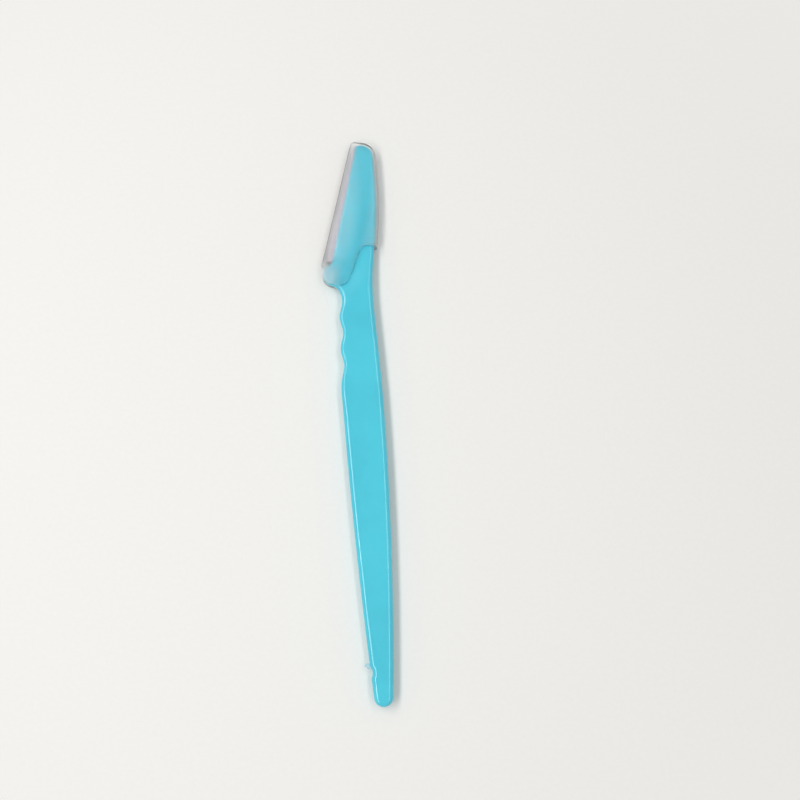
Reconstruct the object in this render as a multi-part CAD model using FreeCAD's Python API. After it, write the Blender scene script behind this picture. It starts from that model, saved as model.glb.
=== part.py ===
import FreeCAD, Part
import math
import os
from FreeCAD import Vector

# Eyebrow razor lying on its side. Millimetres, +Z up.
# Origin: on the flat underside, at the widest place of the grip. +Y runs from tail to head, the edge faces -X.

# Handle
handle_thickness = 4.2
edge_round = 1.0
tail_reach = 77.0
tail_radius = 2.45
grip_front = 5.2
grip_front_y = 14.0
grip_back = 5.65
neck_front = 4.3
neck_back = 5.15
neck_low = 22.0
neck_high = 33.0
scallop_count = 3
scallop_pitch = 8.5
scallop_depth = 0.75
first_crest = 24.0

# Trace of the moulding gate on the front edge, near the tail
gate_up = 9.0
gate_depth = 0.45
gate_radius = 1.6
gate_stub_radius = 0.35

# Ramp that brings the handle down to the head
ramp_angle = 48.0
ramp_start = 29.0
ramp_width = 4.8
ramp_blend = 8.0

# Head, measured along the cutting edge from its heel end, and across from the guard's tooth tips to the back
head_lean = 16.6
edge_offset = 7.35
edge_heel = 39.3
head_thickness = 2.6
tip_margin = 2.1
head_tip_width = 5.4
head_mid = 22.0
head_mid_width = 9.25
head_root = 10.5
head_root_width = 11.6
tip_front_radius = 1.15
tip_back_radius = 3.5
heel_inset = 0.25
heel_radius = 3.0
heel_drop = 2.4
heel_step_low = 1.6
heel_step_high = 0.5
heel_step_radius = 1.6
bevel_start = 0.2
bevel_ridge = 7.0
bevel_edge_half = 0.6

# Blade and its folded guard
blade_length = 32.0
blade_start = 0.8
blade_thickness = 0.2
blade_recess = 0.3
blade_grind = 0.8
guard_sheet = 0.12
guard_depth = 4.6
exposure_heel = 1.9
exposure_tip = 1.0
slot_pitch = 0.6
slot_width = 0.25
slot_depth = 0.6
post_count = 3
post_radius = 0.75
post_clearance = 0.03

# Cap
cap_wall = 0.45
cap_clearance = 0.2
cap_edge_round = 1.1
wing_half = 0.95
cap_tip_radius = 1.4
wing_low = 0.5
wing_low_slant = 0.65
flap_low = 1.2
flap_edge = -0.1
flap_step_radius = 0.3
flap_radius = 3.0
mouth_heel = 5.3
mouth_heel_width = 7.1
mouth_heel_radius = 3.2
mouth_back = 7.45
mouth_back_width = 8.8
mouth_back_radius = 2.6

# Derived
half = handle_thickness / 2
head_half = head_thickness / 2
lean = math.radians(head_lean)
along = Vector(math.sin(lean), math.cos(lean), 0)
across = Vector(math.cos(lean), -math.sin(lean), 0)
heel_point = Vector(-edge_offset, edge_heel, 0)
head_length = blade_start + blade_length + tip_margin
guard_half = blade_thickness / 2 + guard_sheet
cap_inner_half = head_half + cap_clearance
cap_outer_half = cap_inner_half + cap_wall
spare = 5.0
far = 400.0


def on_head(s, q, z=0.0):
    """Point at s along the cutting edge and q across the head, z from the middle plane."""
    return heel_point + along * s + across * q + Vector(0, 0, z)


def line(a, b):
    return Part.LineSegment(a, b).toShape()


def smooth(points, first_direction, last_direction):
    curve = Part.BSplineCurve()
    curve.interpolate(Points=points, InitialTangent=first_direction, FinalTangent=last_direction)
    return curve.toShape()


def rounded_path(corners):
    """Straight runs joined by tangent arcs; corners are (point, radius), with no radius at the ends."""
    edges = []
    last = corners[0][0]
    for (before, _), (corner, radius), (after, _) in zip(corners, corners[1:], corners[2:]):
        to_before = (before - corner).normalize()
        to_after = (after - corner).normalize()
        half_angle = to_before.getAngle(to_after) / 2
        reach = radius / math.tan(half_angle)
        centre = corner + (to_before + to_after).normalize() * (radius / math.sin(half_angle))
        start = corner + to_before * reach
        end = corner + to_after * reach
        middle = centre + (corner - centre).normalize() * radius
        edges.append(line(last, start))
        edges.append(Part.Arc(start, middle, end).toShape())
        last = end
    edges.append(line(last, corners[-1][0]))
    return edges


def plate(edges, half_height):
    """Solid with the closed outline, half_height to each side of the middle plane."""
    wire = Part.Wire(Part.__sortEdges__(edges))
    solid = Part.Face(wire).extrude(Vector(0, 0, 2 * half_height))
    solid.translate(Vector(0, 0, -half_height))
    return solid


def section_along(points, direction, length):
    """Solid with the closed polygon as section, pushed along the direction."""
    return Part.Face(Part.makePolygon(points + points[:1])).extrude(direction * length)


def rim_edges(solid):
    """Edges where the upright sides meet the broad faces."""
    found = []
    for edge in solid.Edges:
        upright = []
        for face in solid.ancestorsOfType(edge, Part.Face):
            u0, u1, v0, v1 = face.ParameterRange
            normal = face.normalAt((u0 + u1) / 2, (v0 + v1) / 2)
            upright.append(abs(normal.z) < 0.5)
        if sorted(upright) == [False, True]:
            found.append(edge)
    return found


def is_over(edge, outline):
    """Whether an edge of a plate lies straight above or below one of the outline's edges."""
    middle = edge.valueAt((edge.FirstParameter + edge.LastParameter) / 2)
    foot = Part.Vertex(middle.x, middle.y, 0)
    return foot.distToShape(Part.Compound(outline))[0] < 1e-4


def bevel_cutters(first_q, first_half, last_q, last_half, start_s, length):
    """Two wedges that thin a plate toward the cutting edge, above and below the middle plane."""
    slope = (last_half - first_half) / (last_q - first_q)
    low_q = first_q - spare
    high_q = last_q + spare
    low_half = first_half + slope * (low_q - first_q)
    high_half = first_half + slope * (high_q - first_q)
    wedges = []
    for side in (1, -1):
        corners = [
            on_head(start_s, low_q, side * low_half),
            on_head(start_s, high_q, side * high_half),
            on_head(start_s, high_q, side * far),
            on_head(start_s, low_q, side * far),
        ]
        wedges.append(section_along(corners, along, length))
    return wedges


# Handle outline: up the front edge, round the heel and the tip, down the back edge
tail_centre = Vector(0, tail_radius - tail_reach, 0)


def grip_side(side, widest, widest_y):
    """Long arc of one side of the grip: upright where it is widest, tangent to the round tail."""
    rise = widest_y - tail_centre.y
    radius = (widest ** 2 + rise ** 2 - tail_radius ** 2) / (2 * (widest - tail_radius))
    centre = Vector(side * (widest - radius), widest_y, 0)
    start = tail_centre + (tail_centre - centre).normalize() * tail_radius
    points = [start]
    for y in (start.y / 2, 0):
        points.append(centre + Vector(side * math.sqrt(radius ** 2 - (y - widest_y) ** 2), y - widest_y, 0))
    return Part.Arc(*points).toShape()


front_grip = grip_side(-1, grip_front, grip_front_y)
back_grip = grip_side(1, grip_back, 0)
tail_front = front_grip.valueAt(front_grip.FirstParameter)
tail_back = back_grip.valueAt(back_grip.FirstParameter)
grip_top_front = front_grip.valueAt(front_grip.LastParameter)
grip_top_back = back_grip.valueAt(back_grip.LastParameter)
tail_edge = Part.Arc(tail_back, tail_centre - Vector(0, tail_radius, 0), tail_front).toShape()

front_points = [grip_top_front]
crest_slope = -(grip_top_front.x + neck_front) / first_crest
for i in reversed(range(scallop_count)):
    crest_y = first_crest - i * scallop_pitch
    trough_y = crest_y + scallop_pitch / 2
    front_points.append(Vector(crest_slope * crest_y + grip_top_front.x, crest_y, 0))
    front_points.append(Vector(crest_slope * trough_y + grip_top_front.x + scallop_depth, trough_y, 0))
heel_centre_q = heel_inset + heel_radius
heel_bottom = on_head(-heel_drop - heel_radius, heel_centre_q)
front_points.append(heel_bottom)
grip_top_direction = front_grip.tangentAt(front_grip.LastParameter)
front_edge = smooth(front_points, grip_top_direction, across * -1)

heel_side = on_head(-heel_drop, heel_inset)
heel_middle = on_head(-heel_drop, heel_centre_q) - (along + across).normalize() * heel_radius
heel_edge = Part.Arc(heel_bottom, heel_middle, heel_side).toShape()

exposure_slope = (exposure_heel - exposure_tip) / blade_length
tip_corner = on_head(head_length, head_tip_width)
back_middle = on_head(head_mid, head_mid_width)
back_start = tip_corner + (back_middle - tip_corner) * 0.35
head_edges = rounded_path([
    (heel_side, 0),
    (on_head(-heel_step_low, heel_inset), heel_step_radius),
    (on_head(heel_step_high, exposure_heel - exposure_slope * heel_step_high), heel_step_radius),
    (on_head(head_length, exposure_heel - exposure_slope * head_length), tip_front_radius),
    (tip_corner, tip_back_radius),
    (back_start, 0),
])

back_points = [
    back_start,
    back_middle,
    on_head(head_root, head_root_width),
    Vector(neck_back, neck_high, 0),
    Vector(neck_back, neck_low, 0),
    grip_top_back,
]
back_edge = smooth(back_points, (back_middle - tip_corner).normalize(), Vector(0, -1, 0))

# Handle thickness: flat grip, ramp across the neck, thinner flat head
crease = Vector(math.cos(math.radians(ramp_angle)), math.sin(math.radians(ramp_angle)), 0)
downhill = Vector(-crease.y, crease.x, 0)
ramp_foot = Vector(0, ramp_start, 0) - crease * far
thickness_edges = []
for side in (1, -1):
    thickness_edges += rounded_path([
        (ramp_foot - downhill * far + Vector(0, 0, side * half), 0),
        (ramp_foot + Vector(0, 0, side * half), ramp_blend),
        (ramp_foot + downhill * ramp_width + Vector(0, 0, side * head_half), ramp_blend),
        (ramp_foot + downhill * far + Vector(0, 0, side * head_half), 0),
    ])
for distance, height in ((-far, half), (far, head_half)):
    end = ramp_foot + downhill * distance
    thickness_edges.append(line(end - Vector(0, 0, height), end + Vector(0, 0, height)))
thickness_wire = Part.Wire(Part.__sortEdges__(thickness_edges))
thickness_body = Part.Face(thickness_wire).extrude(crease * (2 * far))

outline = [tail_edge, front_grip, front_edge, heel_edge] + head_edges + [back_edge, back_grip]
handle = plate(outline, half + spare)
handle = handle.common(thickness_body).Solids[0]
handle = handle.makeFillet(edge_round, rim_edges(handle))
for wedge in bevel_cutters(exposure_heel, bevel_edge_half, bevel_ridge, head_half, bevel_start, far):
    handle = handle.cut(wedge)

# Gate trace: a shallow dip in the front edge with a stub in it
gate_y = gate_up - tail_reach
gate_point = front_grip.valueAt(front_grip.Curve.parameter(Vector(-tail_radius, gate_y, 0)))
gate_centre = gate_point + Vector(gate_depth - gate_radius, 0, -half)
handle = handle.cut(Part.makeCylinder(gate_radius, handle_thickness, gate_centre))
stub_start = gate_point + Vector(gate_depth * 2, 0, 0)
handle = handle.fuse(Part.makeCylinder(gate_stub_radius, gate_depth * 2, stub_start, Vector(-1, 0, 0)))

# Seat for the blade and its guard, crossed by the posts of plastic that run through their holes
post_q = (exposure_heel + guard_depth) / 2
post_pitch = blade_length / post_count
post_places = [blade_start + post_pitch * (i + 0.5) for i in range(post_count)]


def posts(radius):
    up = Vector(0, 0, 1)
    return [Part.makeCylinder(radius, 2 * half, on_head(s, post_q, -half), up) for s in post_places]


def strip_section(points):
    return section_along([on_head(blade_start, q, z) for q, z in points], along, blade_length)


seat = strip_section([
    (-spare, guard_half),
    (guard_depth, guard_half),
    (guard_depth, -guard_half),
    (-spare, -guard_half),
])
for post in posts(post_radius):
    seat = seat.cut(post)
handle = handle.cut(seat)

# Blade: a flat strip ground to an edge on both faces
grind_end = blade_recess + blade_grind
blade = strip_section([
    (blade_recess, 0),
    (grind_end, blade_thickness / 2),
    (guard_depth, blade_thickness / 2),
    (guard_depth, -blade_thickness / 2),
    (grind_end, -blade_thickness / 2),
])

# Guard: sheet folded round the edge, slotted into teeth
guard_edges = []
for half_width in (guard_half, blade_thickness / 2):
    high = on_head(blade_start, guard_half, half_width)
    low = on_head(blade_start, guard_half, -half_width)
    high_end = on_head(blade_start, guard_depth, half_width)
    low_end = on_head(blade_start, guard_depth, -half_width)
    nose = on_head(blade_start, guard_half - half_width, 0)
    guard_edges += [line(high_end, high), Part.Arc(high, nose, low).toShape(), line(low, low_end)]
for side in (1, -1):
    outer = on_head(blade_start, guard_depth, side * guard_half)
    inner = on_head(blade_start, guard_depth, side * blade_thickness / 2)
    guard_edges.append(line(outer, inner))
guard_wire = Part.Wire(Part.__sortEdges__(guard_edges))
safety_guard = Part.Face(guard_wire).extrude(along * blade_length)

slot_count = round(blade_length / slot_pitch) - 1
slot_margin = (blade_length - slot_count * slot_pitch) / 2
slot_straight = slot_depth - slot_width / 2
slots = []
for i in range(slot_count):
    slot_s = blade_start + slot_margin + (i + 0.5) * slot_pitch
    low_root = on_head(slot_s - slot_width / 2, slot_straight)
    high_root = on_head(slot_s + slot_width / 2, slot_straight)
    low_mouth = on_head(slot_s - slot_width / 2, -spare)
    high_mouth = on_head(slot_s + slot_width / 2, -spare)
    root = Part.Arc(low_root, on_head(slot_s, slot_depth), high_root).toShape()
    sides = [line(low_mouth, low_root), line(high_root, high_mouth), line(high_mouth, low_mouth)]
    slots.append(plate(sides + [root], half))
safety_guard = safety_guard.cut(slots)
for hole in posts(post_radius + post_clearance):
    blade = blade.cut(hole)
    safety_guard = safety_guard.cut(hole)


# Cap
def back_direction(point):
    """Direction of the back edge at one of its points, toward the tail."""
    return back_edge.tangentAt(back_edge.Curve.parameter(point))


def beside_back(point, gap):
    """Point pushed out from the back edge by the gap."""
    tangent = back_direction(point)
    return point + Vector(-tangent.y, tangent.x, 0) * gap


def sleeve(gap, half_height, tip_radius, rounding):
    """Rounded plate that follows the head's outline at the gap, run on past the mouth."""
    lobe_radius = heel_centre_q + gap
    low = -heel_drop - lobe_radius - spare
    lobe_side = on_head(-heel_drop, -gap)
    lobe_bottom = on_head(-heel_drop - lobe_radius, heel_centre_q)
    lobe_middle = on_head(-heel_drop, heel_centre_q) - (along + across).normalize() * lobe_radius
    corner = on_head(head_length + gap, head_tip_width + gap * 0.75)
    start = beside_back(back_start, gap)
    end = beside_back(back_points[3], gap)
    rim = rounded_path([
        (lobe_side, 0),
        (on_head(head_length + gap, -gap), tip_radius),
        (corner, tip_back_radius + gap),
        (start, 0),
    ])
    middle = [beside_back(point, gap) for point in back_points[1:3]]
    back = smooth([start] + middle + [end], (start - corner).normalize(), back_direction(back_points[3]))
    kept = rim + [back, Part.Arc(lobe_bottom, lobe_middle, lobe_side).toShape()]
    closing = [line(lobe_bottom, on_head(low, heel_centre_q)), line(on_head(low, heel_centre_q), end)]
    solid = plate(kept + closing, half_height)
    return solid.makeFillet(rounding, [edge for edge in rim_edges(solid) if is_over(edge, kept)])


cap_gap = cap_clearance + cap_wall
cap = sleeve(cap_gap, cap_outer_half, cap_tip_radius, cap_edge_round)
hollow = sleeve(cap_clearance, cap_inner_half, cap_tip_radius - cap_wall, cap_edge_round - cap_wall)
wing_inner_half = wing_half - cap_wall
for wedge in bevel_cutters(-cap_gap, wing_half, bevel_ridge, cap_outer_half, bevel_start + cap_gap, far):
    cap = cap.cut(wedge)
for wedge in bevel_cutters(-cap_clearance, wing_inner_half, bevel_ridge, cap_inner_half,
                           bevel_start + cap_clearance, far):
    hollow = hollow.cut(wedge)
mouth_front = on_head(spare * wing_low_slant - wing_low, -spare)
mouth = rounded_path([
    (mouth_front, 0),
    (on_head(-flap_low, flap_edge), flap_step_radius),
    (on_head(-mouth_heel, flap_edge), flap_radius),
    (on_head(-mouth_heel, mouth_heel_width), mouth_heel_radius),
    (on_head(mouth_back, mouth_back_width), mouth_back_radius),
    (on_head(mouth_back, far), 0),
])
mouth.append(line(on_head(mouth_back, far), on_head(-far, far)))
mouth.append(line(on_head(-far, far), on_head(-far, -spare)))
mouth.append(line(on_head(-far, -spare), mouth_front))
cap = cap.cut(hollow).cut(plate(mouth, handle_thickness))

os.makedirs("parts", exist_ok=True)
pieces = {"handle": handle, "blade": blade, "safety_guard": safety_guard, "cap": cap}
for name, shape in pieces.items():
    solid = shape.Solids[0]
    solid.translate(Vector(0, 0, half))
    solid.exportStep("parts/" + name + ".step")
    print(name, len(shape.Solids), solid.isValid(), round(solid.Volume, 2))
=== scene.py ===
import bmesh
import bpy
import numpy as np
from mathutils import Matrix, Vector


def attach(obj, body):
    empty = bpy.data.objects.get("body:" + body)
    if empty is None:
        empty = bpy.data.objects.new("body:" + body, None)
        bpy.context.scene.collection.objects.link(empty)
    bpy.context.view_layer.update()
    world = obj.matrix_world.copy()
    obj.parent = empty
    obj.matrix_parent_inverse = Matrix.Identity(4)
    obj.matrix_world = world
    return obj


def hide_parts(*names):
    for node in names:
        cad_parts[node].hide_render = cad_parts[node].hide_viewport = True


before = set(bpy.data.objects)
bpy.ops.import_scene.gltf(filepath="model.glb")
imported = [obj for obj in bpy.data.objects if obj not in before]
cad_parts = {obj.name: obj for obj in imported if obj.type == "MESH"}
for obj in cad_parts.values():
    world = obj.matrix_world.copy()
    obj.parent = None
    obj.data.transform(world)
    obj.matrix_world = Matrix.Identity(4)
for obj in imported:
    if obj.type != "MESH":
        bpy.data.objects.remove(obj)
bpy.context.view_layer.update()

# Handle: one flat injection moulding in opaque turquoise plastic, with grip, neck and head in a single piece.
# A ramp across the neck brings the grip down to the thinner head, which is bevelled toward the blade.
# Its edges are rounded, and the mould left a parting line, a gate scar with a torn stub, and ejector rings.
handle_half = 2.1
tail_reach, tail_radius = 77.0, 2.45
grip_front, grip_front_y, grip_back = 5.2, 14.0, 5.65
crest_x, crest_y, scallop_pitch, scallop_depth = 4.3, 24.0, 8.5, 0.75
head_half, head_length, head_lean = 1.3, 34.9, np.radians(16.6)
heel_start = np.array([-7.35, 39.3])
along = np.array([np.sin(head_lean), np.cos(head_lean)])
across = np.array([np.cos(head_lean), -np.sin(head_lean)])
tip_middle, back_bow, root_width = 2.5, 9.25, 11.6
exposure_heel, exposure_tip, blade_length = 1.9, 1.0, 32.0
bevel_half, bevel_ridge = 0.6, 7.0
release_lift, release_start, release_end = 1.0, -3.6, 2.2
grip_round, scallop_round, blade_side_round, head_back_round, tip_round = 1.25, 0.80, 0.32, 0.90, 0.45
neck_back, neck_low, neck_high = 5.15, 22.0, 33.0
ramp_y, ramp_run, ramp_way = 29.0, 4.8, np.radians(48.0)
scar_y, scar_depth, scar_above, scar_below = -68.0, 0.5, 1.3, 2.1
ramp_down = np.array([-np.sin(ramp_way), np.cos(ramp_way)])


def on_head(s, q):
    """Plan point s along the cutting edge from its heel end and q across: heel + s * along + q * across."""
    s, q = np.asarray(s, float), np.asarray(q, float)
    return heel_start + np.multiply.outer(s, along) + np.multiply.outer(q, across)


def head_places(p):
    """The inverse: how far a plan point lies along the cutting edge, and how far across from it."""
    return (p - heel_start) @ along, (p - heel_start) @ across


def arc(centre, radius, first, last, count):
    """Centre plus radius times (cos a, sin a), the angle a running evenly from first to last in radians."""
    a = np.linspace(first, last, count)
    return centre + radius * np.stack([np.cos(a), np.sin(a)], -1)


def spline(points, first_way, last_way, count):
    """Cubic pieces over chord length through the points, alike in slope and curvature where they meet."""
    points = np.asarray(points, float)
    step = np.linalg.norm(np.diff(points, axis=0), axis=1)
    slope = np.diff(points, axis=0) / step[:, None]
    n = len(points)
    inner = np.arange(1, n - 1)
    system, right = np.eye(n), np.zeros((n, 2))
    system[inner, inner - 1] = step[1:]
    system[inner, inner] = 2 * (step[1:] + step[:-1])
    system[inner, inner + 1] = step[:-1]
    right[0], right[-1] = first_way, last_way
    right[1:-1] = 3 * (step[1:, None] * slope[:-1] + step[:-1, None] * slope[1:])
    way = np.linalg.solve(system, right)
    knot = np.append(0, np.cumsum(step))
    t = np.linspace(0, knot[-1], count)
    k = np.clip(np.searchsorted(knot, t, "right") - 1, 0, n - 2)
    u, h = ((t - knot[k]) / step[k])[:, None], step[k][:, None]
    return ((1 + 2 * u) * (1 - u) ** 2 * points[k] + u * (1 - u) ** 2 * h * way[k]
            + u ** 2 * (3 - 2 * u) * points[k + 1] - u ** 2 * (1 - u) * h * way[k + 1])


def rounded(corners, radii, count=16):
    """Straight runs whose inner corners become tangent arcs, each centred on its corner's bisector."""
    corners, r = np.asarray(corners, float), np.asarray(radii, float)[:, None]
    corner = corners[1:-1]
    before, after = corners[:-2] - corner, corners[2:] - corner
    before /= np.linalg.norm(before, axis=1, keepdims=True)
    after /= np.linalg.norm(after, axis=1, keepdims=True)
    half = np.arccos(np.sum(before * after, axis=1, keepdims=True)) / 2
    middle = before + after
    centre = corner + middle / np.linalg.norm(middle, axis=1, keepdims=True) * r / np.sin(half)
    start, end = corner + before * r / np.tan(half) - centre, corner + after * r / np.tan(half) - centre
    first = np.arctan2(start[:, 1], start[:, 0])[:, None]
    turn = (np.arctan2(end[:, 1], end[:, 0])[:, None] - first + np.pi) % (2 * np.pi) - np.pi
    a = first + turn * np.linspace(0, 1, count)
    arcs = centre[:, None] + r[:, None] * np.stack([np.cos(a), np.sin(a)], -1)
    return np.concatenate([corners[:1], arcs.reshape(-1, 2), corners[-1:]])


def join(*parts):
    """The parts end to end as one path, with repeated points dropped."""
    path = np.concatenate(parts)
    return path[np.append(True, np.linalg.norm(np.diff(path, axis=0), axis=1) > 1e-6)]


def length_along(path):
    """Distance of each point from the path's start: the running sum of the steps."""
    return np.append(0, np.cumsum(np.linalg.norm(np.diff(path, axis=0), axis=1)))


def walk(path, distance):
    """Points of the path at the given distances from its start."""
    reach = length_along(path)
    return np.stack([np.interp(distance, reach, path[:, 0]), np.interp(distance, reach, path[:, 1])], -1)


def distance_to(path, points):
    """How far along the path each of the points lies, at the path's nearest vertex."""
    gap = np.linalg.norm(path[None] - np.asarray(points, float)[:, None], axis=2)
    return length_along(path)[np.argmin(gap, axis=1)]


def inward(path, side):
    """Unit normals into the piece: the path's direction between neighbours, turned a quarter to one side."""
    way = np.gradient(path, axis=0)
    way /= np.linalg.norm(way, axis=1, keepdims=True)
    return side * np.stack([way[:, 1], -way[:, 0]], -1)


def grip_side(side, widest, widest_y, top):
    """One side of the grip: an arc that is upright where it is widest and tangent to the round tail."""
    tail = np.array([0, tail_radius - tail_reach])
    rise = widest_y - tail[1]
    radius = (widest ** 2 + rise ** 2 - tail_radius ** 2) / (2 * (widest - tail_radius))
    centre = np.array([side * (widest - radius), widest_y])
    lean = np.arctan2(tail[1] - centre[1], side * (tail[0] - centre[0]))
    end = np.arcsin((top - widest_y) / radius)
    mirror = np.array([side, 1])
    return join(tail + mirror * arc(np.zeros(2), tail_radius, -np.pi / 2, lean, 30),
                centre + mirror * arc(np.zeros(2), radius, lean, end, 200))


front_grip = grip_side(-1, grip_front, grip_front_y, 0)
back_grip = grip_side(1, grip_back, 0, 0)
crest_slope = -(front_grip[-1, 0] + crest_x) / crest_y
crest = crest_y - scallop_pitch * np.array([2, 1, 0])
trough = crest + scallop_pitch / 2
crests = np.stack([crest_slope * crest + front_grip[-1, 0], crest], -1)
troughs = np.stack([crest_slope * trough + front_grip[-1, 0] + scallop_depth, trough], -1)
wave = np.stack([crests, troughs], 1).reshape(-1, 2)
heel_radius, heel_q, heel_s = 3.0, 3.25, -2.4
heel_bottom = on_head(heel_s - heel_radius, heel_q)
grip_way = front_grip[-1] - front_grip[-2]
scallops = spline(np.vstack([front_grip[-1:], wave, heel_bottom]), grip_way, -across, 600)
heel_turn = np.arctan2(-along[1], -along[0])
heel = arc(on_head(heel_s, heel_q), heel_radius, heel_turn, heel_turn - np.pi / 2, 60)
edge_slope = (exposure_heel - exposure_tip) / blade_length
tip_end = on_head(head_length, tip_middle)
edge_q = [0.25, 0.25, exposure_heel - 0.5 * edge_slope, exposure_heel - head_length * edge_slope, tip_middle]
blade_side = rounded(on_head([heel_s, -1.6, 0.5, head_length, head_length], edge_q), [1.6, 1.6, 1.15])
front_path = join(front_grip, scallops, heel, blade_side)
tip_corner, back_middle = on_head(head_length, 5.4), on_head(22.0, back_bow)
back_start = tip_corner + 0.35 * (back_middle - tip_corner)
back_way = (tip_corner - back_middle) / np.linalg.norm(tip_corner - back_middle)
back_knots = [back_grip[-1], (neck_back, neck_low), (neck_back, neck_high), on_head(10.5, root_width),
              back_middle, back_start]
back_spline = spline(back_knots, (0, 1), back_way, 700)
back_path = join(back_grip, back_spline, rounded([back_start, tip_corner, tip_end], [3.5], 60))

# the gate scar is a dip pressed into the front edge near the tail
up = front_path[:, 1] - scar_y
scar = scar_depth * np.clip(1 - (up / np.where(up > 0, scar_above, scar_below)) ** 2, 0, 1) ** 1.5
front_path = front_path + inward(front_path, 1) * scar[:, None]

# rungs cross the plan from matching places on the two sides, closer together where the outline bends
rung_front = np.vstack([front_path[0], front_grip[29], (-4.3, -40), front_grip[-1], wave[-1], heel_bottom,
                        on_head(heel_s, 0.25), on_head(1.2, 1.87), on_head(31.5, 1.0), tip_end])
rung_back = np.vstack([back_path[0], back_grip[29], (4.8, -40), back_grip[-1], (5.15, 26.5), (5.15, 30.5),
                       on_head(-2.0, 13.4), on_head(1.2, 12.9), on_head(29.5, 7.1), tip_end])
rung_count = [26, 70, 60, 150, 40, 40, 30, 90, 60]
marks = np.append(0, np.cumsum(rung_count))
rungs = np.arange(marks[-1] + 1)
front = walk(front_path, np.interp(rungs, marks, distance_to(front_path, rung_front)))
back = walk(back_path, np.interp(rungs, marks, distance_to(back_path, rung_back)))
front_in, back_in = inward(front, 1), inward(back, -1)


def soft_step(x, low, high):
    """Zero below low, one above high, and the cubic 3t^2 - 2t^3 between."""
    t = np.clip((x - low) / (high - low), 0, 1)
    return t * t * (3 - 2 * t)


def lower_of(first, second):
    """The lower of heights a and b with the corner eased by e: minus e log(exp(-a / e) + exp(-b / e))."""
    ease = 0.05
    return -ease * np.logaddexp(-first / ease, -second / ease)


def handle_height(p):
    """Half thickness over the plan: the grip's flat, less a ramp with softened ends, then the lower of that
    and the bevel, which falls in a straight line from ridge to blade side and is lifted clear at the heel."""
    bend = 0.35
    run = (p - np.array([0, ramp_y])) @ ramp_down
    fall = bend * (np.logaddexp(0, run / bend) - np.logaddexp(0, (run - ramp_run) / bend))
    flat = handle_half - (handle_half - head_half) / ramp_run * fall
    s, q = head_places(p)
    rise = (q - exposure_heel) * (head_half - bevel_half) / (bevel_ridge - exposure_heel)
    release = release_lift * (1 - soft_step(s, release_start, release_end))
    return lower_of(flat, bevel_half + rise + release)


def plate_section(front, front_in, front_round, back, back_in, back_round, height, columns, ridge):
    """Upper half of a rounded plate, rung by rung: up the front wall, over a quarter-round edge, across the
    face in even steps, over the back edge and down the back wall. A quarter-round of radius r at angle a lies
    r(1 - cos a) in from the outline and r(1 - sin a) below the face. The lowest wall points stand out by the
    ridge."""
    turn = np.linspace(0, np.pi / 2, 8)
    share = np.linspace(0, 1, columns + 2)[1:-1, None, None]
    wall = np.array([0, 0.045, 0.09, 0.5])
    sides = []
    for line, into, r in ((front, front_in, front_round), (back, back_in, back_round)):
        over = line + into * (r * (1 - np.cos(turn)[:, None]))[:, :, None]
        over_z = height(over) - r * (1 - np.sin(turn)[:, None])
        low = line - into * (ridge * np.array([1, 0.6, 0, 0])[:, None, None])
        low_z = np.stack([0 * r, 0 * r + wall[1], 0 * r + wall[2], over_z[0] * wall[3]])
        sides.append((np.concatenate([low, over]), np.concatenate([low_z, over_z])))
    face = sides[0][0][-1] * (1 - share) + sides[1][0][-1] * share
    plan = np.concatenate([sides[0][0], face, sides[1][0][::-1]])
    return plan, np.concatenate([sides[0][1], height(face), sides[1][1][::-1]])


def whole_section(plan, z, middle):
    """Mirrors an upper half about the middle plane into closed loops, as a grid of points in metres."""
    above = np.concatenate([plan, (middle + z)[:, :, None]], 2)
    below = np.concatenate([plan, (middle - z)[:, :, None]], 2)[1:-1][::-1]
    return np.concatenate([above, below]) * 0.001


def grid_faces(loops, count, start=0, flip=False):
    """Quads between neighbouring loops of a closed grid numbered loop by loop, in either winding."""
    j, i = np.meshgrid(np.arange(loops), np.arange(count - 1), indexing="ij")
    after = (j + 1) % loops
    quads = np.stack([j * count + i, j * count + i + 1, after * count + i + 1, after * count + i], -1) + start
    return (quads[..., ::-1] if flip else quads).reshape(-1, 4)


def add_piece(name, points, faces, finishes, body, slot, node, finish_of=0, **shades):
    """Mesh of the points and faces with coincident points welded, smooth shaded and riding on its body.
    finish_of says which finish each face has. Each shade is a value per point, kept on the mesh by name."""
    mesh = bpy.data.meshes.new(name)
    mesh.from_pydata(points.reshape(-1, 3).tolist(), [], faces.tolist())
    for finish in finishes:
        mesh.materials.append(finish)
    mesh.polygons.foreach_set("material_index", np.broadcast_to(finish_of, len(faces)).astype(np.int32))
    for shade, values in shades.items():
        mesh.attributes.new(shade, "FLOAT", "POINT").data.foreach_set("value", values.ravel())
    shape = bmesh.new()
    shape.from_mesh(mesh)
    bmesh.ops.remove_doubles(shape, verts=shape.verts, dist=2e-7)
    bmesh.ops.recalc_face_normals(shape, faces=shape.faces)
    shape.to_mesh(mesh)
    shape.free()
    mesh.shade_smooth()
    mesh.set_sharp_from_angle(angle=np.radians(40))
    piece = bpy.data.objects.new(name, mesh)
    bpy.context.scene.collection.objects.link(piece)
    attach(piece, body)
    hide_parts(node)


def new_material(name):
    """An empty node material: its tree, its principled shader and the piece's own coordinates."""
    material = bpy.data.materials.new(name)
    material.use_nodes = True
    tree = material.node_tree
    shader = tree.nodes["Principled BSDF"]
    place = tree.nodes.new("ShaderNodeTexCoord").outputs["Object"]
    return material, tree, shader, place


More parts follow.
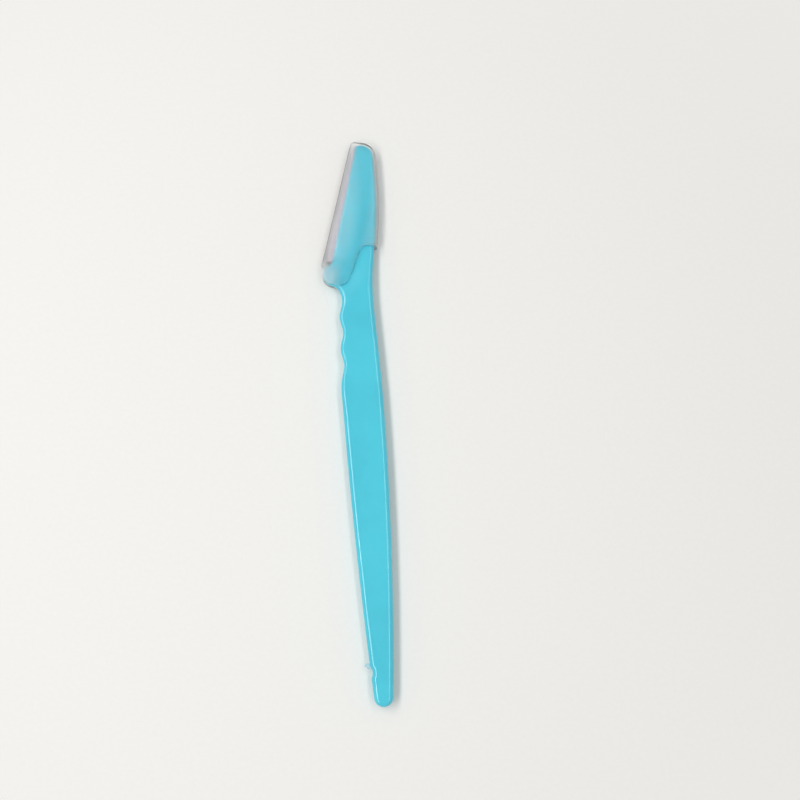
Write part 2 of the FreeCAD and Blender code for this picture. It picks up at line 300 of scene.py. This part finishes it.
def noise(tree, place, scale, detail=3.0, stretch=(1, 1, 1), turn=0.0):
    """Noise over the piece's own coordinates, turned about Z and then stretched."""
    node = tree.nodes.new("ShaderNodeTexNoise")
    node.inputs["Scale"].default_value = scale
    node.inputs["Detail"].default_value = detail
    mapping = tree.nodes.new("ShaderNodeMapping")
    mapping.vector_type = "TEXTURE"
    mapping.inputs["Rotation"].default_value = (0, 0, turn)
    mapping.inputs["Scale"].default_value = [1 / x for x in stretch]
    tree.links.new(place, mapping.inputs["Vector"])
    tree.links.new(mapping.outputs["Vector"], node.inputs["Vector"])
    return node.outputs["Fac"]


def spread(tree, value, low, high, out_low, out_high):
    """Map of a value from one range to another with soft ends: 3t^2 - 2t^3 of its place in the range."""
    node = tree.nodes.new("ShaderNodeMapRange")
    node.interpolation_type = "SMOOTHSTEP"
    for name, number in zip(("From Min", "From Max", "To Min", "To Max"), (low, high, out_low, out_high)):
        node.inputs[name].default_value = number
    tree.links.new(value, node.inputs["Value"])
    return node.outputs["Result"]


def reckon(tree, operation, first, second=0.0):
    """One step of arithmetic on two node values or plain numbers."""
    node = tree.nodes.new("ShaderNodeMath")
    node.operation = operation
    for socket, value in zip(node.inputs, (first, second)):
        if isinstance(value, float):
            socket.default_value = value
        else:
            tree.links.new(value, socket)
    return node.outputs["Value"]


def blend_colours(tree, share, first, second):
    """Colour that runs from the first to the second as the share goes from 0 to 1."""
    node = tree.nodes.new("ShaderNodeMix")
    node.data_type = "RGBA"
    node.inputs["A"].default_value = (*first, 1)
    node.inputs["B"].default_value = (*second, 1)
    tree.links.new(share, node.inputs["Factor"])
    return node.outputs["Result"]


def add_bump(tree, shader, height, distance, before=None):
    """Height in metres laid on the surface, after any bump given before."""
    node = tree.nodes.new("ShaderNodeBump")
    node.inputs["Strength"].default_value = 1.0
    node.inputs["Distance"].default_value = distance
    tree.links.new(height, node.inputs["Height"])
    if before is not None:
        tree.links.new(before, node.inputs["Normal"])
    tree.links.new(node.outputs["Normal"], shader.inputs["Normal"])
    return node.outputs["Normal"]


turquoise, tree, shader, place = new_material("turquoise_moulding")
cloud = noise(tree, place, 90, 4)
cloud = spread(tree, cloud, 0.3, 0.7, 0.0, 1.0)
tone = blend_colours(tree, cloud, (0.040, 0.565, 0.720), (0.050, 0.615, 0.770))
tree.links.new(tone, shader.inputs["Base Color"])
rub = noise(tree, place, 260, 5, (1, 0.12, 1))
tree.links.new(spread(tree, rub, 0.3, 0.75, 0.10, 0.20), shader.inputs["Roughness"])
shader.inputs["Subsurface Weight"].default_value = 0.12
shader.inputs["Subsurface Radius"].default_value = (0.3, 0.9, 1.0)
shader.inputs["Subsurface Scale"].default_value = 0.0012
shader.inputs["IOR"].default_value = 1.59
shader.inputs["Coat Weight"].default_value = 0.35
shader.inputs["Coat Roughness"].default_value = 0.06
peel = add_bump(tree, shader, noise(tree, place, 1500, 2), 0.000004)
peel = add_bump(tree, shader, noise(tree, place, 900, 4, (1, 0.05, 1)), 0.000002, peel)
for pin_y in (-0.058, -0.020, 0.018):
    reach = tree.nodes.new("ShaderNodeVectorMath")
    reach.operation = "DISTANCE"
    reach.inputs[1].default_value = (0, pin_y, 0)
    tree.links.new(place, reach.inputs[0])
    ring = spread(tree, reach.outputs["Value"], 0.00135, 0.0015, 0.0, 1.0)
    peel = add_bump(tree, shader, ring, 0.00004, peel)

# the rounding of the edges tightens from the grip to the scallops and the head, and the two sides agree at the tip
front_s, back_s = head_places(front)[0], head_places(back)[0]
front_round = (grip_round + (scallop_round - grip_round) * soft_step(front[:, 1], -4, 10)
               + (blade_side_round - scallop_round) * soft_step(front_s, -1.4, 0.6)
               + (tip_round - blade_side_round) * soft_step(front_s, 31, 34))
back_round = (grip_round + (head_back_round - grip_round) * soft_step(back_s, 2, 12)
              + (tip_round - head_back_round) * soft_step(rungs, marks[-2], marks[-1]))
plan, z = plate_section(front, front_in, front_round, back, back_in, back_round, handle_height, 26, 0.012)
points = whole_section(plan, z, handle_half)


def gate_stub(root, length, radius):
    """Torn stub of the gate: rings about an axis out from the front edge, each ring's radius and lean a bit
    uneven, the last one drawn in to a point."""
    around, out = np.meshgrid(np.linspace(0, 2 * np.pi, 25)[:-1], np.linspace(0, 1, 8), indexing="ij")
    ring = radius * (1 - 0.4 * out + 0.12 * np.sin(3 * around + 4 * out)) * np.clip(8 * (1 - out), 0, 1)
    reach = length * np.minimum(out * 8 / 7, 1) * (1 + 0.25 * np.cos(around))
    return (np.array([*root, handle_half])
            + np.stack([-reach, ring * np.cos(around), 0.55 * ring * np.sin(around)], -1)) * 0.001


blush, tree, shader, place = new_material("torn_blush")
tear = noise(tree, place, 2500, 4)
tree.links.new(blend_colours(tree, tear, (0.22, 0.58, 0.70), (0.66, 0.80, 0.84)), shader.inputs["Base Color"])
tree.links.new(spread(tree, tear, 0.3, 0.7, 0.4, 0.65), shader.inputs["Roughness"])
add_bump(tree, shader, tear, 0.00006)
stub_y, stub_sunk, stub_length, stub_radius = -67.0, 0.3, 1.3, 0.8
stub_root = front_path[np.argmin(np.abs(front_path[:, 1] - stub_y))] + np.array([stub_sunk, 0])
stub = gate_stub(stub_root, stub_length, stub_radius)
sides = grid_faces(len(points), len(rungs))
torn = grid_faces(len(stub), 8, points.size // 3)
add_piece("razor_handle", np.concatenate([points.reshape(-1, 3), stub.reshape(-1, 3)]),
          np.concatenate([sides, torn]), [turquoise, blush], "razor", "handle", "handle",
          np.repeat([0, 1], [len(sides), len(torn)]))

# Blade: one strip of hardened stainless steel, ground to an edge on both faces and caught in the head's slot.
# The grinding leaves fine lines that run along the strip.
steel, tree, shader, place = new_material("ground_steel")
grain = noise(tree, place, 300, 6, (14, 0.25, 14), -head_lean)
tone = blend_colours(tree, grain, (0.42, 0.41, 0.45), (0.56, 0.55, 0.60))
tree.links.new(tone, shader.inputs["Base Color"])
shader.inputs["Metallic"].default_value = 1.0
tree.links.new(spread(tree, grain, 0.3, 0.7, 0.22, 0.36), shader.inputs["Roughness"])
add_bump(tree, shader, grain, 0.000004)
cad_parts["blade"].data.materials.clear()
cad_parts["blade"].data.materials.append(steel)

# Safety guard: thin bright stainless sheet folded over the cutting edge and slotted into a comb.
# Its flanks lie on both faces of the blade and run back into the head with it.
bright, tree, shader, place = new_material("rolled_sheet_steel")
grain = noise(tree, place, 420, 5, (10, 0.4, 10), -head_lean)
tone = blend_colours(tree, grain, (0.44, 0.42, 0.47), (0.56, 0.53, 0.59))
tree.links.new(tone, shader.inputs["Base Color"])
shader.inputs["Metallic"].default_value = 1.0
tree.links.new(spread(tree, grain, 0.3, 0.7, 0.26, 0.4), shader.inputs["Roughness"])
add_bump(tree, shader, grain, 0.000003)
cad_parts["safety_guard"].data.materials.clear()
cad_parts["safety_guard"].data.materials.append(bright)

# Cap: a thin frosted sleeve moulded in clear plastic, which slides over the head from the tip.
# It thins to a wing over the cutting edge, and its mouth runs in a long S from the heel to the head's back.
# Below the wing it is open in front, with a flap over each face of the heel.
cap_gap, cap_wall = 0.65, 0.45
cap_half, wing_half = 1.95, 0.95
cap_release_lift, cap_release_start, cap_release_end = 1.2, -4.5, 6.0
cap_corner, cap_tip_round, wing_round, cap_back_round = 1.4, 0.8, 0.5, 1.1
mouth_heel, mouth_back = -5.3, 7.45
mouth_s = [2.75, -1.2, mouth_heel, mouth_heel, mouth_back, mouth_back]
mouth_q = [-5.0, -0.1, -0.09, 7.1, 8.8, 16.0]
mouth = rounded(on_head(mouth_s, mouth_q), [0.3, 3.0, 3.2, 2.6], 24)


def sleeve(inset, rows, columns):
    """One skin of the cap, inset from its outside. Stations run from below the mouth to the tip: until the
    sides bend in, a rung crosses at one height along the cutting edge, and from there at the same share of
    each side's way to the tip. Each column of points starts at the mouth, at its own place along the S, and
    climbs to the tip in steps that shorten."""
    below, bend_in, last = -9, 30, 36
    gap = cap_gap - inset
    top = head_length + gap
    tip = on_head(top, tip_middle)
    front_side = rounded([on_head(below, -gap), on_head(top, -gap), tip], [cap_corner - inset], 40)
    back_side = back_path - inward(back_path, -1) * gap
    back_side = join(back_side[(head_places(back_side)[0] > below) & (back_side[:, 0] > 0)][:-1], tip[None])
    back_s = head_places(back_side)[0]
    station = np.linspace(below + 1, last, 900)
    early = station < bend_in
    late = np.clip((station - bend_in) / (last - bend_in), 0, 1)
    front_reach, back_reach = length_along(front_side), length_along(back_side)
    straight = bend_in - below
    front_at = np.where(early, station - below, straight + late * (front_reach[-1] - straight))
    turn_in = np.argmax(back_s > bend_in)
    back_at = np.interp(station, back_s[:turn_in + 1], back_reach[:turn_in + 1])
    back_rest = back_reach[-1] - back_reach[turn_in]
    back_at = np.where(early, back_at, back_reach[turn_in] + late * back_rest)
    front_line, back_line = walk(front_side, front_at), walk(back_side, back_at)
    front_in, back_in = inward(front_line, 1), inward(back_line, -1)
    tip_r = cap_tip_round * (1 - inset)
    front_r = wing_round - 0.95 * inset
    front_r = front_r + (tip_r - front_r) * soft_step(station, bend_in, last)
    back_r = cap_back_round - inset
    back_r = back_r + (tip_r - back_r) * soft_step(station, bend_in, last)
    half, wing = cap_half - inset, wing_half - inset

    def height(p):
        """Half thickness: the lower of the flat and a bevel from ridge to wing, lifted clear at the heel."""
        s, q = head_places(p)
        rise = (q + gap) * (half - wing) / (bevel_ridge + gap)
        release = cap_release_lift * (1 - soft_step(s, cap_release_start, cap_release_end))
        return lower_of(half, wing + rise + release)

    turn = np.linspace(0, np.pi / 2, 7)
    wall = np.array([0, 0.35, 0.7])
    lip_s, lip_q = head_places(mouth)
    wing_s, wing_q = lip_s[:30], lip_q[:30]
    inner_q = -gap + np.interp(0, station, front_r)
    back_q = head_places(back_line)[1]
    first = np.interp(inner_q, wing_q, wing_s)
    limit = np.interp(mouth_back, station, back_q) - np.interp(mouth_back, station, back_r)
    keep = (lip_q > inner_q) & (lip_q < limit)
    lip = join(on_head(first, inner_q)[None], mouth[keep], on_head(mouth_back, limit)[None])
    lip_reach = length_along(lip)
    share = np.linspace(0, 1, columns)
    lip_s, lip_q = head_places(walk(lip, share * lip_reach[-1]))
    low_q = np.interp(lip_s, station, -gap + front_r)
    high_q = np.interp(lip_s, station, back_q - back_r)
    lip_share = np.clip((lip_q - low_q) / (high_q - low_q), 0, 1)
    rise = np.linspace(0, 1, rows)
    rise = 0.5 * rise + 0.5 * (1 - (1 - rise) ** 2)

    def at(line, place):
        """Points of a side's line at the given stations."""
        return np.stack([np.interp(place, station, line[:, 0]), np.interp(place, station, line[:, 1])], -1)

    def edge(line, into, r, start):
        """A wall and its quarter-round, from the middle plane up, each column starting at its own station."""
        place = start[:, None] + (last - start[:, None]) * rise
        radius = np.interp(place, station, r)
        a = np.append(0 * wall, turn)[:, None]
        plan = at(line, place) + at(into, place) * (radius * (1 - np.cos(a)))[:, :, None]
        z = height(plan) - radius * (1 - np.sin(a))
        return plan, np.concatenate([z[:3] * wall[:, None], z[3:]])

    edge_in = np.interp(0, station, front_r) * (1 - np.cos(np.append(0 * wall, turn)))
    front_start = np.interp(-gap + edge_in, wing_q, wing_s)
    front_plan, front_z = edge(front_line, front_in, front_r, front_start)
    back_plan, back_z = edge(back_line, back_in, back_r, np.full(10, mouth_back))
    place = lip_s[:, None] + (last - lip_s[:, None]) * rise
    across_share = lip_share[:, None] + (share - lip_share)[:, None] * (1 - (1 - rise) ** 3)
    inner_front = at(front_line, place) + at(front_in, place) * np.interp(place, station, front_r)[:, :, None]
    inner_back = at(back_line, place) + at(back_in, place) * np.interp(place, station, back_r)[:, :, None]
    face = inner_front * (1 - across_share[:, :, None]) + inner_back * across_share[:, :, None]
    plan = np.concatenate([front_plan, face[1:-1], back_plan[::-1]])
    return whole_section(plan, np.concatenate([front_z, height(face)[1:-1], back_z[::-1]]), handle_half)


rows, columns = 130, 64
outside, inside = sleeve(0.0, rows, columns), sleeve(cap_wall, rows, columns)
loops = len(outside)
skin = grid_faces(loops, rows)
lip = np.arange(loops) * rows
rim = np.stack([lip, np.roll(lip, -1), np.roll(lip, -1) + loops * rows, lip + loops * rows], -1)
# walls and quarter-round edges of each skin, point by point: the mask for the rim's painted shade and haze
wall_share = np.concatenate([[0, 0, 0.05], 1 - np.sin(np.linspace(0, np.pi / 2, 7))])
edge_shade = np.concatenate([wall_share, np.zeros(columns - 2), wall_share[::-1]])
edge_shade = np.repeat(np.tile(np.concatenate([edge_shade, edge_shade[1:-1][::-1]]), 2), rows)
# painted shadow along the mouth: full at the lip, gone half a millimetre away
mouth_line = walk(mouth, np.linspace(0, length_along(mouth)[-1], 300))
from_lip = np.min(np.linalg.norm(1000 * outside[:, :, None, :2] - mouth_line, axis=3), axis=2)
lip_width = 0.5
lip_shade = np.concatenate([np.clip(1 - from_lip / lip_width, 0, 1).ravel(), np.zeros(loops * rows)])

frosted, tree, shader, place = new_material("frosted_clear")
shader.inputs["IOR"].default_value = 1.12
shader.inputs["Coat Weight"].default_value = 0.3
shader.inputs["Coat Roughness"].default_value = 0.25
frost = noise(tree, place, 4000, 3)
tree.links.new(spread(tree, frost, 0.3, 0.7, 0.28, 0.34), shader.inputs["Roughness"])
turned = tree.nodes.new("ShaderNodeMapping")
turned.inputs["Rotation"].default_value = (0, 0, head_lean)
turned.inputs["Location"].default_value = (*(-0.001 * np.array([heel_start @ across, heel_start @ along])), 0)
split = tree.nodes.new("ShaderNodeSeparateXYZ")
tree.links.new(place, turned.inputs["Vector"])
tree.links.new(turned.outputs["Vector"], split.inputs["Vector"])
q_place, s_place = split.outputs["X"], split.outputs["Y"]
# the frost looks clearest along a bowed crown where the cap lies closest to the head, and thickest over the heel
crown_s, crown_q, crown_bow = 0.009, 0.007, 6.0
crown_clear, beside_clear, heel_haze = 1.0, 0.925, 0.25
from_root = reckon(tree, "SUBTRACT", s_place, crown_s)
crown = reckon(tree, "MULTIPLY", reckon(tree, "MULTIPLY", from_root, from_root), crown_bow)
beside = reckon(tree, "ABSOLUTE", reckon(tree, "SUBTRACT", reckon(tree, "ADD", q_place, crown), crown_q))
clear = spread(tree, beside, 0.0009, 0.0030, crown_clear, beside_clear)
over_heel = reckon(tree, "MULTIPLY", spread(tree, s_place, 0.001, -0.003, 0.0, 1.0),
                   spread(tree, q_place, 0.0065, 0.0015, 0.0, heel_haze))
edges = tree.nodes.new("ShaderNodeAttribute")
edges.attribute_name = "edge"
lips = tree.nodes.new("ShaderNodeAttribute")
lips.attribute_name = "lip"
# the wing's colour is darkened toward grey as painted shade, most of all on its rounded rim, and the lip along the
# S gets a painted shadow; the rim is also hazier than the rest
rim_haze, rim_shade_depth, wing_shade_depth, lip_shadow_depth = 0.25, 0.87, 0.13, 0.18
rim_tone = spread(tree, edges.outputs["Fac"], 0.08, 0.35, 0.0, 1.0)
wing_tone = reckon(tree, "MULTIPLY", spread(tree, q_place, 0.0012, -0.0004, 0.0, 1.0),
                   spread(tree, s_place, -0.0012, 0.0012, 0.0, 1.0))
wing_tone = reckon(tree, "MULTIPLY", wing_tone, spread(tree, s_place, 0.0352, 0.0334, 0.0, 1.0))
rim_tone = reckon(tree, "MULTIPLY", rim_tone, wing_tone)
clear = reckon(tree, "SUBTRACT", clear, over_heel)
clear = reckon(tree, "SUBTRACT", clear, reckon(tree, "MULTIPLY", rim_tone, rim_haze))
tree.links.new(clear, shader.inputs["Transmission Weight"])
# painted shade on the rim and the wing, and the painted shadow along the S, darken the frosted white toward grey
painted_shade_share = reckon(tree, "MULTIPLY", rim_tone, rim_shade_depth)
painted_shade_share = reckon(tree, "ADD", painted_shade_share, reckon(tree, "MULTIPLY", wing_tone, wing_shade_depth))
on_s = spread(tree, q_place, 0.0035, 0.006, 0.0, lip_shadow_depth)
painted_shade_share = reckon(tree, "ADD", painted_shade_share, reckon(tree, "MULTIPLY", lips.outputs["Fac"], on_s))
tone = blend_colours(tree, painted_shade_share, (0.985, 0.995, 1.0), (0.30, 0.30, 0.31))
tree.links.new(tone, shader.inputs["Base Color"])

polished, tree, shader, place = new_material("polished_inside")
shader.inputs["Base Color"].default_value = (1, 1, 1, 1)
shader.inputs["Transmission Weight"].default_value = 1.0
shader.inputs["IOR"].default_value = 1.12
tree.links.new(spread(tree, noise(tree, place, 3000, 3), 0.3, 0.7, 0.08, 0.14), shader.inputs["Roughness"])

# painted shade: the rim faces between the two skins are a dim teal-grey that stands in for the shade in the gap
# along the mouth
shaded_rim, tree, shader, place = new_material("rim_painted_shade")
grain = noise(tree, place, 3500, 3)
tone = blend_colours(tree, grain, (0.38, 0.48, 0.50), (0.48, 0.57, 0.59))
tree.links.new(tone, shader.inputs["Base Color"])
tree.links.new(spread(tree, grain, 0.3, 0.7, 0.5, 0.6), shader.inputs["Roughness"])
shader.inputs["Transmission Weight"].default_value = 0.15
shader.inputs["IOR"].default_value = 1.12
inner_skin = grid_faces(loops, rows, loops * rows, True)
add_piece("frosted_cap", np.concatenate([outside.reshape(-1, 3), inside.reshape(-1, 3)]),
          np.concatenate([skin, rim, inner_skin]), [frosted, shaded_rim, polished], "cap", "cap", "cap",
          np.repeat([0, 1, 2], [len(skin), len(rim), len(inner_skin)]), edge=edge_shade, lip=lip_shade)

# Setting: a pale floor under the razor, a soft window-like light from the left and a weaker one on the right.
# The camera stands almost overhead.
floor_mesh = bpy.data.meshes.new("floor")
floor_mesh.from_pydata([(-9, -9, 0), (9, -9, 0), (9, 9, 0), (-9, 9, 0)], [], [(0, 1, 2, 3)])
floor = bpy.data.objects.new("floor", floor_mesh)
bpy.context.scene.collection.objects.link(floor)


def seen_by_eye(tree):
    """One for rays that reach the eye straight, off a gloss or through the cap; zero once scattered."""
    path = tree.nodes.new("ShaderNodeLightPath")
    seen = reckon(tree, "MAXIMUM", path.outputs["Is Camera Ray"], path.outputs["Is Glossy Ray"])
    seen = reckon(tree, "MAXIMUM", seen, path.outputs["Is Transmission Ray"])
    return reckon(tree, "MULTIPLY", seen, reckon(tree, "LESS_THAN", path.outputs["Diffuse Depth"], 0.5))


paper, tree, shader, place = new_material("pale_paper")
fibre = noise(tree, place, 900, 4)
tone = blend_colours(tree, fibre, (0.88, 0.87, 0.84), (0.92, 0.91, 0.88))
tree.links.new(tone, shader.inputs["Base Color"])
shader.inputs["Roughness"].default_value = 0.8
shader.inputs["Specular IOR Level"].default_value = 0.0
# far from the razor, the eye sees the floor at one pale tone, wherever the lamps fall off
far = tree.nodes.new("ShaderNodeVectorMath")
far.operation = "LENGTH"
tree.links.new(place, far.inputs[0])
seen = seen_by_eye(tree)
glow = tree.nodes.new("ShaderNodeEmission")
far_tone = (0.86, 0.855, 0.83)
glow.inputs["Color"].default_value = (*far_tone, 1)
shown = tree.nodes.new("ShaderNodeMixShader")
far_share = spread(tree, far.outputs["Value"], 0.09, 0.26, 0.0, 1.0)
tree.links.new(reckon(tree, "MULTIPLY", seen, far_share), shown.inputs["Fac"])
tree.links.new(shader.outputs["BSDF"], shown.inputs[1])
tree.links.new(glow.outputs["Emission"], shown.inputs[2])
tree.links.new(shown.outputs["Shader"], tree.nodes["Material Output"].inputs["Surface"])
floor_mesh.materials.append(paper)

world = bpy.data.worlds.new("studio")
world.use_nodes = True
tree = world.node_tree
seen = seen_by_eye(tree)
sky = blend_colours(tree, seen, (0.42, 0.42, 0.42), far_tone)
tree.links.new(sky, tree.nodes["Background"].inputs["Color"])
bpy.context.scene.world = world


def add_light(name, place, aim, size, watts):
    """Rectangular soft light at a place, turned to face the point that it aims at."""
    light = bpy.data.lights.new(name, "AREA")
    light.shape = "RECTANGLE"
    light.size, light.size_y = size
    light.energy = watts
    lamp = bpy.data.objects.new(name, light)
    lamp.location = place
    lamp.rotation_euler = (Vector(aim) - Vector(place)).to_track_quat("-Z", "Y").to_euler()
    bpy.context.scene.collection.objects.link(lamp)


add_light("left_strip", (-0.27, 0.02, 0.50), (0, 0, 0), (0.7, 0.13), 1.8)
add_light("right_strip", (0.22, 0.0, 0.55), (0, 0, 0), (0.7, 0.10), 0.7)

view = bpy.data.cameras.new("photo_view")
view.lens, view.sensor_width = 50, 36
view.clip_start = 0.01
camera = bpy.data.objects.new("photo_view", view)
camera.location = (0.00585, -0.04816, 0.29091)
camera.rotation_euler = np.radians([9.661, -0.062, -4.456])
bpy.context.scene.collection.objects.link(camera)
bpy.context.scene.camera = camera
bpy.context.scene.view_settings.view_transform = "Standard"
